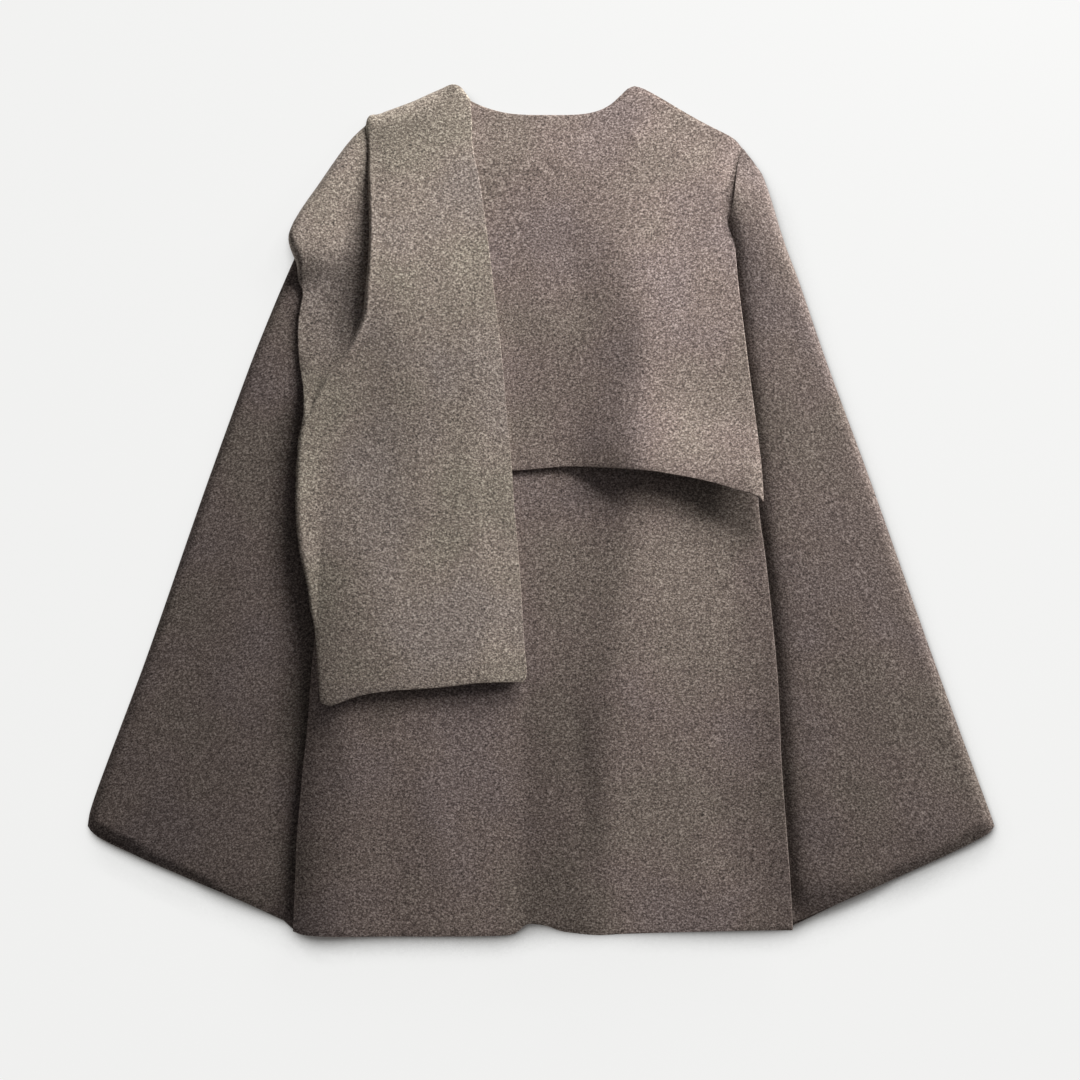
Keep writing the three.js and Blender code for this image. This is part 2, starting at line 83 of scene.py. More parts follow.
# Outlines, all of them rows of (x, y).
NECK: Rows = [
    (-92, 880.5), (-81, 877), (-74.5, 872.5), (-62, 866.5), (-40, 860), (-18, 857.2), (6.5, 856.8),
    (26.5, 856.8), (44, 858), (61, 862), (73.5, 868.5), (84, 878), (91.5, 885), (98, 887.5),
]
SHOULDER_RIGHT: Rows = [
    (98, 887.5), (106, 885.5), (125, 875.5), (146, 863), (167, 851), (191, 838.5), (203, 831.5),
    (212.5, 821),
]
SHOULDER_LEFT: Rows = [
    (-192, 829.5), (-172, 848), (-149, 859), (-132, 865), (-115.5, 871.5), (-92, 880.5),
]
OVERARM_RIGHT: Rows = [
    (212.5, 821), (222.5, 806.5), (231, 793), (239.5, 767.5), (249, 736), (256, 715), (268, 683.5),
    (297, 599.5), (343.5, 473.5), (410.5, 284.5), (468.5, 127), (474.5, 110.5),
]
OVERARM_LEFT: Rows = [
    (-192, 829.5), (-206, 814), (-220.5, 790.5), (-232, 769.5), (-241.5, 744.5), (-252.5, 717),
    (-262.5, 694), (-276, 662.5), (-301.5, 599.5), (-347.5, 473.5), (-413.5, 284.5), (-471.5, 127),
    (-474.5, 110.5),
]
CUFF_RIGHT: Rows = [(474.5, 110.5), (469.5, 104), (366.5, 54.5), (263.5, 5)]
CUFF_LEFT: Rows = [(-474.5, 110.5), (-468.5, 102), (-364.5, 54), (-260.5, 6.5)]
HEM: Rows = [
    (-259, 0.5), (-247, -3), (-150, -3.4), (-53.5, -3), (-33.5, -2), (-26.5, 0), (-21, 5), (-14, 9.5),
    (-5.5, 9.5), (7.5, 7.5), (20, 3), (33.5, 1), (60, -1), (82, 0), (180, 2), (263, 3.5),
]
FRONT_NECK_AND_SHOULDERS: Rows = [
    (-148, 854), (-132, 860.5), (-115.5, 866.5), (-96, 873), (-82, 871), (-74, 867.3), (-62, 863.5),
    (-40, 859), (-18, 856.8), (6.5, 856.5), (26.5, 856.5), (44, 857.5), (61, 861), (77.5, 868.3),
    (87, 874.6), (99, 879.6), (110, 879.6), (120, 874.6), (136.5, 865), (152, 856.8), (166, 849.5),
]
FRONT_LEFT_EDGE: Rows = [
    (-178, 834), (-183, 790), (-190, 750), (-199, 705), (-209, 637), (-218, 552), (-226, 477),
    (-231, 397), (-235, 320), (-239.5, 273), (-244, 213), (-248, 177.5), (-255, 102), (-259, 0.5),
]
FRONT_RIGHT_EDGE: Rows = [
    (184, 838), (186, 790), (190, 750), (199, 705), (209.5, 637), (219.5, 552), (226, 477),
    (228.5, 437), (234, 397), (238.5, 357), (247, 266.5), (251, 179.5), (254, 136.5), (257.5, 92),
    (260.5, 49.5), (263, 3.5),
]
CAPELET_RIGHT_EDGE: Rows = [
    (210.5, 822.5), (207, 811.5), (203.7, 794), (200.6, 767.5), (199.5, 753), (202.7, 718),
    (205.8, 680.5), (211, 637.5), (216.3, 594.5), (221.6, 552.5), (225.8, 517.5), (229.6, 477),
    (231, 450),
]
CAPELET_LEFT_EDGE: Rows = [(-148, 854), (-138, 700), (-128, 570), (-120, 480)]
CAPELET_HEM: Rows = [
    (-120, 480), (-75, 481), (-30.5, 483), (-14.5, 484), (10.5, 486.2), (32.5, 487.2), (64, 486.2),
    (96.5, 484), (118.5, 482), (139.5, 478.3), (160.5, 474.6), (182.5, 469.4), (203.5, 463),
    (218.5, 459), (226, 455.5), (231, 450),
]
SLEEVE_LEFT_INNER: Rows = [
    (-187, 825), (-188, 808), (-191, 785), (-194.5, 752), (-184, 730), (-182, 695), (-188, 637),
    (-197, 552), (-205, 477), (-211, 397), (-216, 320), (-222, 266), (-233, 136), (-246, 50),
    (-256, 6.5),
]
SLEEVE_RIGHT_INNER: Rows = [
    (212.3, 820.5), (208.2, 811.5), (205, 794), (202.2, 768), (198, 746), (189, 720), (186, 690),
    (190, 637), (199, 552), (207, 477), (211, 437), (218, 357), (228, 266), (238, 136), (250, 49.5),
    (259, 6),
]
SCARF_TOP: Rows = [
    (-182, 845), (-179, 854.5), (-171, 855.5), (-160, 859.5), (-149, 863.5), (-132, 870),
    (-115.5, 877.5), (-104, 882.5), (-97, 885.5), (-91.5, 886.5), (-86.5, 885), (-81.5, 879),
    (-77.5, 873.5), (-75.5, 871),
]
SCARF_WING_TOP: Rows = [
    (-262.5, 731), (-256.5, 745.5), (-246, 762.5), (-236, 776.5), (-224, 794), (-212, 811.5),
    (-196.5, 831.5), (-182, 845),
]
SCARF_CREASE: Rows = [
    (-182, 845), (-179.5, 813.8), (-179.5, 789.6), (-179, 765.5), (-178.5, 729.8), (-180.5, 690),
    (-183, 667), (-185, 645.8), (-192, 625.8), (-203, 604.8), (-220, 582), (-232, 562), (-240, 535),
    (-240, 500), (-238, 450), (-234, 400), (-226, 330),
]
SCARF_LEFT_EDGE: Rows = [
    (-262.5, 731), (-262.3, 723.4), (-259.4, 714), (-256.2, 706.6), (-254, 701.4), (-252, 681.5),
    (-249.3, 669.9), (-252.5, 650), (-254.1, 635.3), (-254, 612), (-252, 592.2), (-247.8, 566),
    (-247.8, 537.6), (-253, 509.3), (-254.6, 480.9), (-255.2, 454.7), (-254.2, 428.4), (-251, 398),
    (-244.7, 370.7), (-239.4, 338.1), (-235.2, 313.9), (-232, 277.2), (-229, 240),
]
SCARF_HEM: Rows = [
    (-229, 240), (-220.5, 237.3), (-213.2, 239.4), (-196.4, 245.7), (-180.6, 249.9), (-149.1, 254.1),
    (-128.1, 255.2), (-100.8, 257.3), (-63, 261.5), (-19, 262.5),
]
SCARF_RIGHT_EDGE: Rows = [
    (-75.5, 871), (-73.5, 854.7), (-72.5, 824.3), (-65.1, 786.5), (-58.8, 744.5), (-53, 698.3),
    (-48.8, 664.7), (-44.1, 625.8), (-39.9, 585.9), (-35.7, 535.5), (-32.6, 505), (-30.5, 479.9),
    (-28.4, 444.2), (-24.2, 398), (-21, 353.9), (-17.9, 303.5), (-15.8, 267.8), (-19, 262.5),
]

# The seam line along neck and shoulders, by distance from the middle: (x, y).
SHOULDER_LINE: Rows = [
    (0, 857), (60, 861), (98, 882), (125, 872), (167, 848), (191, 837), (212, 821), (260, 760),
]


def smooth(t: Array | float) -> Array | float:
    """Ease from 0 to 1 as t does."""
    t = np.clip(t, 0.0, 1.0)
    return t * t * (3.0 - 2.0 * t)


def blend(a: Array | float, b: Array | float, t: Array | float) -> Array | float:
    """Value between a at t = 0 and b at t = 1."""
    return a + (b - a) * t


def table_at(rows: Rows, x: Array | float) -> Array | float:
    """Value at x in rows of (x, value), held at both ends.

    Args:
        rows: Pairs that rise or fall in x.
        x: Where to read.

    Returns:
        The value, linear between rows.
    """
    ordered = sorted(rows)
    return np.interp(x, [row[0] for row in ordered], [row[1] for row in ordered])


def edge_at(rows: Rows, y: Array | float) -> Array | float:
    """The x of an edge at height y, from its rows of (x, y)."""
    return table_at([(row_y, row_x) for row_x, row_y in rows], y)


class Curve:
    """A smooth curve through rows of (x, y), read by the share of its length."""

    STEPS = 40

    def __init__(self, rows: Rows) -> None:
        """Fit a centripetal Catmull-Rom curve.

        Args:
            rows: The points that it passes through.
        """
        points = np.array(rows, dtype=float)
        ends = 2 * points[[0, -1]] - points[[1, -2]]
        padded = np.vstack([ends[:1], points, ends[1:]])
        pieces = []
        for p0, p1, p2, p3 in zip(padded, padded[1:], padded[2:], padded[3:]):
            t0, t1, t2 = (math.sqrt(math.dist(a, b)) for a, b in ((p0, p1), (p1, p2), (p2, p3)))
            start = ((p1 - p0) / t0 - (p2 - p0) / (t0 + t1) + (p2 - p1) / t1) * t1
            finish = ((p2 - p1) / t1 - (p3 - p1) / (t1 + t2) + (p3 - p2) / t2) * t1
            t = np.linspace(0, 1, self.STEPS, endpoint=False)[:, None]
            square = -3 * p1 + 3 * p2 - 2 * start - finish
            cube = 2 * p1 - 2 * p2 + start + finish
            pieces.append(p1 + start * t + square * t**2 + cube * t**3)
        self.points = np.vstack([*pieces, points[-1:]])
        lengths = np.hypot(*np.diff(self.points, axis=0).T)
        self.share = np.concatenate([[0], np.cumsum(lengths)]) / lengths.sum()

    def at(self, share: Array | float) -> Array:
        """The point at a share of the length, from 0 to 1."""
        x = np.interp(share, self.share, self.points[:, 0])
        y = np.interp(share, self.share, self.points[:, 1])
        return np.stack([x, y], axis=-1)


class Run(Curve):
    """Several curves end to end, each with its own share of the whole."""

    def __init__(self, parts: list[tuple[Rows, float]]) -> None:
        """Join the curves.

        Args:
            parts: Each curve's rows, and the share of the whole at which it ends.
        """
        self.curves = [Curve(rows) for rows, _ in parts]
        self.ends = [0.0, *(end for _, end in parts)]

    def at(self, share: Array | float) -> Array:
        """The point at a share of the whole.

        Args:
            share: From 0 at its start to 1 at its end.

        Returns:
            The point (x, y), or one for each share.
        """
        share = np.asarray(share, dtype=float)
        result = np.zeros(share.shape + (2,))
        for curve, start, end in zip(self.curves, self.ends, self.ends[1:]):
            inside = (share >= start) & (share <= end)
            result[inside] = curve.at((share[inside] - start) / (end - start))
        return result


class Part(Curve):
    """A stretch of another curve."""

    def __init__(self, whole: Curve, start: float, end: float) -> None:
        """Keep the curve and the stretch's two shares of it."""
        self.whole, self.start, self.end = whole, start, end

    def at(self, share: Array | float) -> Array:
        """The point at a share of the stretch, from 0 to 1."""
        return self.whole.at(blend(self.start, self.end, share))


@dataclass
class Patch:
    """A surface between four curves that meet at their ends."""

    top: Curve
    bottom: Curve
    left: Curve
    right: Curve

    def at(self, across: Array | float, down: Array | float) -> Array:
        """The point at shares of the way across and down.

        Args:
            across: From 0 at the left side to 1 at the right.
            down: From 0 at the top to 1 at the bottom.

        Returns:
            The point (x, y), or one for each pair of shares.
        """
        across, down = np.broadcast_arrays(np.asarray(across, float), np.asarray(down, float))
        u, v = across[..., None], down[..., None]
        edges = self.top.at(across) * (1 - v) + self.bottom.at(across) * v
        edges += self.left.at(down) * (1 - u) + self.right.at(down) * u
        corners = self.top.at(0.0) * (1 - u) * (1 - v) + self.top.at(1.0) * u * (1 - v)
        corners += self.bottom.at(0.0) * (1 - u) * v + self.bottom.at(1.0) * u * v
        return edges - corners


@dataclass(frozen=True)
class Fold:
    """A soft ridge (or trough, where it is negative) that runs down a panel.

    Its x and height are given at three levels of y. Its slopes are steepest at its crest,
    whose rounding is a radius, and die out over the spreads to its left and right.
    """

    x: tuple[float, float, float]
    height: tuple[float, float, float]
    crest: float
    spreads: tuple[float, float]

    def rise(self, levels: tuple[float, float, float], x: Array, y: Array) -> Array:
        """Height that the fold adds.

        Args:
            levels: The three y, from the neck down.
            x: Where to read.
            y: Where to read.

        Returns:
            Millimetres above the plain panel.
        """
        top, middle, bottom = levels
        upper = smooth((top - y) / (top - middle))
        lower = smooth((middle - y) / (middle - bottom))
        above = y > middle
        line = np.where(above, blend(*self.x[:2], upper), blend(*self.x[1:], lower))
        crest = np.where(above, blend(*self.height[:2], upper), blend(*self.height[1:], lower))
        offset = x - line
        spread = np.where(offset < 0, *self.spreads)
        return crest * np.exp((self.crest - np.hypot(self.crest, offset)) / spread)


@dataclass(frozen=True)
class Crease:
    """A short soft ridge, or trough where its height is negative, laid on a panel."""

    start: tuple[float, float]
    end: tuple[float, float]
    width: float
    height: float
    reach: float = 0.42  # share of its length, to each side of its middle, that it keeps up

    def rise(self, x: Array, y: Array) -> Array:
        """Height that the crease adds: full along its middle, dying out at its ends.

        Args:
            x: Where to read.
            y: Where to read.

        Returns:
            Millimetres above the plain panel.
        """
        start, end = np.array(self.start), np.array(self.end)
        along = end - start
        length = float(np.hypot(*along))
        unit = along / length
        run = ((x - start[0]) * unit[0] + (y - start[1]) * unit[1]) / length
        off = (x - start[0]) * unit[1] - (y - start[1]) * unit[0]
        ends = np.exp(-(((run - 0.5) / self.reach) ** 4))
        return self.height * ends * np.exp(-((off / self.width) ** 2))


@dataclass(frozen=True)
class Bank:
    """Cloth that rises from the front's left edge: steepest there, level past its width."""

    height: float = 15.5
    width: float = 112.0
    lift: float = 5.5  # of the edge itself
    top: float = 560.0
    length: float = 330.0

    def rise(self, distance: Array, y: Array) -> Array:
        """Height that the bank adds at a distance from the edge."""
        t = np.clip(distance / self.width, 0, 1)
        return self.height * (1 - (1 - t) ** 3) * smooth((self.top - y) / self.length)

    def raised(self, distance: Array, y: Array) -> Array:
        """How far the edge and the cloth beside it are lifted."""
        grown = smooth((self.top - y) / self.length)
        return self.lift * grown * (1 - smooth(distance / self.width))


@dataclass
class Layers:
    """The heights at which the coat's layers lie on each other."""

    front_lift: float = WALL + SEAM_GAP
    shoulder_ramp: float = 60.0  # over which the front comes down to the seam at the shoulders
    edge_round: float = 10.0  # over which a rolled edge comes down
    levels: tuple[float, float, float] = (840, 600, 0)  # the y at which the folds are given
    folds: list[Fold] = field(
        default_factory=lambda: [
            Fold((92, 106, 62), (1, 17, 14), 20, (48, 100)),
            Fold((-150, -155, -122), (1.5, 3, 4), 40, (46, 60)),
            Fold((-20, -24, -18), (0, -1, -2.4), 8, (26, 18)),
        ]
    )
    bank: Bank = Bank()
    side_rise: float = 6.5  # of the right edge, which lies on the sleeve
    side_width: float = 58.0
    side_top: float = 720.0
    side_length: float = 320.0
    creases: list[Crease] = field(
        default_factory=lambda: [
            Crease((-212, 262), (-190, 96), 17, 0.9),
            Crease((-118, 176), (-96, 34), 21, 1.2),
            Crease((38, 236), (58, 12), 15, -1.5),
            Crease((128, 372), (96, 196), 24, 1.1),
            Crease((214, 424), (196, 252), 14, -0.9),
            Crease((176, 168), (206, 42), 19, -1.2),
        ]
    )

    def edge_share(self, distance: Array | float) -> Array | float:
        """How much relief is left at a distance from a rolled edge: none at the edge."""
        t = np.clip(np.asarray(distance) / self.edge_round, 0, 1)
        return np.sqrt(1 - (1 - t) ** 2)

    def body(self, x: Array, y: Array, from_edge: Array | float | None = None) -> Array:
        """Underside of the body's front.

        Args:
            x: Where to read.
            y: Where to read.
            from_edge: Distance from the left edge, which rolls down, or None on other pieces.

        Returns:
            Millimetres above the table.
        """
        rise = smooth((table_at(SHOULDER_LINE, np.abs(x)) - y) / self.shoulder_ramp)
        from_left = x - edge_at(FRONT_LEFT_EDGE, y)
        from_right = np.clip((edge_at(FRONT_RIGHT_EDGE, y) - x) / self.side_width, 0, 1)
        relief = sum(fold.rise(self.levels, x, y) for fold in self.folds)
        relief = relief + sum(crease.rise(x, y) for crease in self.creases)
        relief = relief + self.bank.rise(from_left, y)
        if from_edge is not None:
            relief = relief * self.edge_share(from_edge)
        side = self.side_rise * (1 - from_right) ** 2
        side = side * smooth((self.side_top - y) / self.side_length)
        return WALL + SEAM_GAP + rise * (
            self.front_lift + relief + self.bank.raised(from_left, y) + side
        )

    def front(self, x: Array, y: Array) -> Array:
        """Underside of the front, with its left edge rolled down."""
        return self.body(x, y, x - edge_at(FRONT_LEFT_EDGE, y))


LAYERS = Layers()


def spread(count: int, start: list[float], end: list[float]) -> Array:
    """Even shares of a width or length, with closer ones at ends that roll down.

    Args:
        count: Number of even parts.
        start: Shares wanted near 0.
        end: Distances from 1 of the shares wanted there.

    Returns:
        Shares from 0 to 1, rising.
    """
    closer = [*start, *(1 - share for share in end)]
    clear = 0.35 / count  # least distance of an even share from a closer one
    even = [i / count for i in range(count + 1)]
    kept = [t for t in even if t in (0, 1) or all(abs(t - share) > clear for share in closer)]
    return np.array(sorted([*kept, *closer]))


class Side(Enum):
    """A side of a panel's grid that can be felled."""

    BOTTOM = "bottom"
    LEFT = "left"
    RIGHT = "right"


def srgb(code: str) -> tuple[float, float, float, float]:
    """Linear colour of an sRGB hex code such as #b5aca0."""
    parts = [int(code[i : i + 2], 16) / 255 for i in (1, 3, 5)]
    linear = [c / 12.92 if c <= 0.04045 else ((c + 0.055) / 1.055) ** 2.4 for c in parts]
    return (*linear, 1.0)


def add_node(
    tree: bpy.types.NodeTree,
    kind: str,
    settings: dict[str | int, object] | None = None,
    links: dict[str | int, bpy.types.NodeSocket] | None = None,
) -> bpy.types.Node:
    """Add a node with its settings and links.

    Args:
        tree: The material's node tree.
        kind: The node's type.
        settings: Values by input (name or place) or by property.
        links: Sockets of other nodes by input.

    Returns:
        The node.
    """
    node = tree.nodes.new(kind)
    for name, value in (settings or {}).items():
        if isinstance(name, str) and hasattr(node, name):
            setattr(node, name, value)
        else:
            node.inputs[name].default_value = value
    for name, source in (links or {}).items():
        tree.links.new(source, node.inputs[name])
    return node


@dataclass(frozen=True)
class MelangeWool:
    """Double-faced melange wool: dark and light fibres carded together, woven, then felted.

    The eye gets a speckle of light and dark tufts, a faint twill under the nap, slow drifts of
    warm, grey and purplish tints, and a soft sheen at grazing angles. Each piece's tints are
    scaled as a whole, partly for its nap and partly as painted light and shade.
    """

    name: str
    dark: str = "#36312f"
    middle: str = "#776c66"
    light: str = "#bdb3ab"
    nap_and_painted_light: float = 1.0  # how much light the piece sends up: partly its nap, by the way that the piece is cut, partly painted light and shade over the whole piece
    grain: float = 0.0  # degrees from the coat's own grain
    offset: tuple[float, float, float] = (0.0, 0.0, 0.0)
    tuft_mm: float = 1.6  # real tufts are about 1 mm: coarser, so that the picture holds them
    weave_mm: float = 2.2  # real twill lines are about 1.2 mm apart: coarser for the same reason
    weave_turn: float = 28.0  # degrees between twill and grain
    weave_share: float = 0.36  # of the twill in the speckle
    nap_mm: float = 11.0  # patches in which the nap lies one way
    nap_share: float = 0.35  # of those patches in the relief
    relief_mm: float = 1.2
    drift_mm: float = 120.0

    def shade(self, tint: str) -> tuple[float, float, float, float]:
        """A tint scaled by the piece's nap and its painted light and shade."""
        return (*(self.nap_and_painted_light * part for part in srgb(tint)[:3]), 1.0)

    def material(self) -> bpy.types.Material:
        """The finish as a node material that reads the piece's own coordinates.

        Returns:
            The material.
        """
        material = bpy.data.materials.new(self.name)
        material.use_nodes = True
        tree = material.node_tree
        tree.nodes.clear()
        place = add_node(tree, "ShaderNodeTexCoord").outputs["Object"]
        turned = add_node(
            tree,
            "ShaderNodeMapping",
            {"Location": self.offset, "Rotation": (0, 0, math.radians(self.grain))},
            {"Vector": place},
        ).outputs["Vector"]
        tufts = add_node(
            tree,
            "ShaderNodeTexNoise",
            {"Scale": 1 / (self.tuft_mm * MM), "Detail": 3.0, "Roughness": 0.62},
            {"Vector": turned},
        ).outputs["Fac"]
        weft = add_node(
            tree,
            "ShaderNodeMapping",
            {"Scale": (0.75, 1.1, 1.0), "Rotation": (0, 0, math.radians(self.weave_turn))},
            {"Vector": turned},
        ).outputs["Vector"]
        twill = add_node(
            tree,
            "ShaderNodeTexNoise",
            {"Scale": 1 / (self.weave_mm * MM), "Detail": 1.5, "Roughness": 0.5},
            {"Vector": weft},
        ).outputs["Fac"]
        melange = add_node(
            tree,
            "ShaderNodeMix",
            {"data_type": "FLOAT", 0: self.weave_share},
            {2: tufts, 3: twill},
        ).outputs[0]
        ramp = add_node(tree, "ShaderNodeValToRGB", {}, {"Fac": melange})
        stops = ramp.color_ramp.elements
        stops[0].position, stops[0].color = 0.34, srgb(self.dark)
        stops[1].position, stops[1].color = 0.66, srgb(self.light)
        centre = stops.new(0.5)
        centre.color = srgb(self.middle)
        drift = add_node(
            tree,
            "ShaderNodeTexNoise",
            {"Scale": 1 / (self.drift_mm * MM), "Detail": 2.0, "Roughness": 0.5},
            {"Vector": turned},
        )
        # these tints also carry the piece's nap and its painted light and shade, through self.shade
        tints = add_node(tree, "ShaderNodeValToRGB", {}, {"Fac": drift.outputs["Fac"]})
        shades = tints.color_ramp.elements
        shades[0].position, shades[0].color = 0.36, self.shade("#faf3f6")
        shades[1].position, shades[1].color = 0.64, self.shade("#faf6f0")
        between = shades.new(0.5)
        between.color = self.shade("#fdf5f3")
        colour = add_node(
            tree,
            "ShaderNodeMix",
            {"data_type": "RGBA", "blend_type": "MULTIPLY", 0: 1.0},
            {6: ramp.outputs["Color"], 7: tints.outputs["Color"]},
        ).outputs[2]
        nap_and_painted_light = add_node(
            tree,
            "ShaderNodeTexNoise",
            {"Scale": 1 / (self.nap_mm * MM), "Detail": 2.0, "Roughness": 0.55},
            {"Vector": turned},
        ).outputs["Fac"]
        relief = add_node(
            tree,
            "ShaderNodeMix",
            {"data_type": "FLOAT", 0: self.nap_share},
            {2: melange, 3: nap_and_painted_light},
        ).outputs[0]
        bump = add_node(
            tree,
            "ShaderNodeBump",
            {"Strength": 0.2, "Distance": self.relief_mm * MM},
            {"Height": relief},
        ).outputs["Normal"]
        rough = add_node(
            tree,
            "ShaderNodeMapRange",
            {"To Min": 0.86, "To Max": 1.0},
            {"Value": melange},
        ).outputs["Result"]
        shader = add_node(
            tree,
            "ShaderNodeBsdfPrincipled",
            {
                "IOR": 1.5,
                "Specular IOR Level": 0.2,
                "Sheen Weight": 0.18,
                "Sheen Roughness": 0.5,
                "Sheen Tint": srgb("#e8ded2"),
            },
            {"Base Color": colour, "Roughness": rough, "Normal": bump},
        )
        add_node(tree, "ShaderNodeOutputMaterial", {}, {"Surface": shader.outputs["BSDF"]})
        return material


def select_only(thing: bpy.types.Object) -> None:
    """Make one object the selected and active one."""
    bpy.ops.object.select_all(action="DESELECT")
    thing.select_set(True)
    bpy.context.view_layer.objects.active = thing


def to_row(points: Array) -> Array:
    """Points of the coat's own frame, in millimetres, as metres of the row frame."""
    return (points + np.array(LAID_AT)) * MM


@dataclass(frozen=True)
class FelledEdge:
    """The two faces of the cloth turned in and sewn together: a soft cord along the cut edge."""

    radius: float = 1.3  # a little over half of the wall
    stitch: float = 5.2  # spacing of the stitches that pull it in
    pull: float = 0.14  # share of the radius that a stitch takes
    uneven: float = 0.25  # share by which the spacing of the stitches comes and goes
    uneven_turn: float = 0.37  # radians of that at each step
    step: float = 1.3  # between points of the cord
    inset: float = 0.9  # from the cut edge
    raised: float = 0.1  # above the middle of the wall

    def line(self, grid: Array, side: Side) -> Array:
        """Middle of the cord along a side of a piece.

        Args:
            grid: The piece's points, rows from neck to hem.
            side: The side.

        Returns:
            Points at even steps.
        """
        turned = {
            Side.BOTTOM: grid[::-1],
            Side.LEFT: grid.swapaxes(0, 1),
            Side.RIGHT: grid[:, ::-1].swapaxes(0, 1),
        }[side]
        edge = turned[0]
        inward = turned[3] - edge
        inward /= np.linalg.norm(inward, axis=1)[:, None]
        along = np.gradient(edge, axis=0)
        up = np.cross(along, inward)
        up *= np.sign(up[:, 2:]) / np.linalg.norm(up, axis=1)[:, None]
        line = edge + inward * self.inset + up * (WALL / 2 + self.raised)
        length = np.concatenate([[0], np.cumsum(np.linalg.norm(np.diff(line, axis=0), axis=1))])
        even = np.linspace(0, length[-1], int(length[-1] / self.step) + 1)
        return np.column_stack([np.interp(even, length, line[:, axis]) for axis in range(3)])

    def build(self, name: str, grid: Array, side: Side) -> bpy.types.Object:
        """Model the cord as a curve with a bevel, made a mesh.

        Args:
            name: The mesh object's name.
            grid: The piece's points.
            side: The side that it finishes.

        Returns:
            The mesh object.
        """
        line = self.line(grid, side)
        count = len(line)
        cord = bpy.data.curves.new(name, "CURVE")
        cord.dimensions = "3D"
        cord.bevel_depth = self.radius * MM
        cord.bevel_resolution = 2
        cord.use_fill_caps = True
        spline = cord.splines.new("POLY")
        spline.points.add(count - 1)
        spline.points.foreach_set("co", np.column_stack([to_row(line), np.ones(count)]).ravel())
        spacing = 1 + self.uneven * np.sin(np.arange(count) * self.uneven_turn)
        stitches = np.cumsum(spacing) * self.step / self.stitch
        pulled = 1 - self.pull * (0.5 + 0.5 * np.cos(2 * np.pi * stitches)) ** 2
        spline.points.foreach_set("radius", pulled)
        edge = bpy.data.objects.new(name, cord)
        bpy.context.scene.collection.objects.link(edge)
        select_only(edge)
        bpy.ops.object.convert(target="MESH")
        bpy.ops.object.shade_smooth()
        return bpy.context.active_object


@dataclass
class Cloth:
    """A piece of the coat's cloth: a grid of points of its underside, with a soft-edged wall."""

    name: str
    flat: tuple[float, float]  # the cut's width and length
    area: float  # of the cut, in square metres
    finish: MelangeWool
    rests_on: list[str]
    edges: list[Side]
    felled: FelledEdge = FelledEdge()
    held: str = "laid"
    edge_radius: float = 1.05
    edge_segments: int = 3
    edge_angle: float = 58.0  # degrees: sharper than any fold, blunter than a cut edge

    def points(self) -> Array:
        """Underside of the piece: rows from neck to hem, columns from left to right."""
        raise NotImplementedError

    def build(self) -> bpy.types.Object:
        """Model the piece from a grid primitive.

        Returns:
            The finished mesh object, with its place in its mesh.
        """
        points = self.points()
        rows, columns = points.shape[:2]
        bpy.ops.object.select_all(action="DESELECT")
        bpy.ops.mesh.primitive_grid_add(
            x_subdivisions=columns - 1, y_subdivisions=rows - 1, size=1.0, location=(0, 0, 0)
        )
        piece = bpy.context.active_object
        piece.name = piece.data.name = self.name + "_cloth"
        flat = np.empty(len(piece.data.vertices) * 3)
        piece.data.vertices.foreach_get("co", flat)
        flat = flat.reshape(-1, 3)
        column = np.rint((flat[:, 0] + 0.5) * (columns - 1)).astype(int)
        row = np.rint((0.5 - flat[:, 1]) * (rows - 1)).astype(int)
        piece.data.vertices.foreach_set("co", to_row(points[row, column]).ravel())
        piece.data.update()
        self.thicken(piece)
        return piece

    def thicken(self, piece: bpy.types.Object) -> None:
        """Give the grid its wall and its soft edges.

        Args:
            piece: The grid, which is changed.
        """
        select_only(piece)
        wall = piece.modifiers.new("wall", "SOLIDIFY")
        wall.thickness = WALL * MM
        wall.offset = 1.0
        wall.use_quality_normals = True
        bpy.ops.object.modifier_apply(modifier=wall.name)
        rounding = piece.modifiers.new("edges", "BEVEL")
        rounding.width = self.edge_radius * MM
        rounding.segments = self.edge_segments
        rounding.limit_method = "ANGLE"
        rounding.angle_limit = math.radians(self.edge_angle)
        bpy.ops.object.modifier_apply(modifier=rounding.name)
        bpy.ops.object.shade_smooth()

    def dress(self, piece: bpy.types.Object) -> list[bpy.types.Object]:
        """Args:
            piece: The built mesh object.

        Returns:
            The piece, and the edges that were added.
        """
        material = self.finish.material()
        grid = self.points()
        cords = [self.felled.build(f"{self.name}_{side.value}_edge", grid, side) for side in self.edges]
        for thing in [piece, *cords]:
            thing.data.materials.clear()
            thing.data.materials.append(material)
            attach(thing, "root")
        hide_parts(self.name)
        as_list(self.rests_on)
        return [piece, *cords]


@dataclass
class Panel(Cloth):
    """A piece between four outlines, lying at the height that under(x, y) gives."""

    patch: Patch | None = None
    columns: Array | None = None
    rows: Array | None = None
    under: Height | None = None

    def points(self) -> Array:
        """Underside of the panel.

        Returns:
            Points: rows from the top to the bottom, columns from left to right.
        """
        across, down = np.meshgrid(self.columns, self.rows)
        flat = self.patch.at(across, down)
        height = self.under(flat[..., 0], flat[..., 1])
        return np.concatenate([flat, height[..., None]], axis=-1)


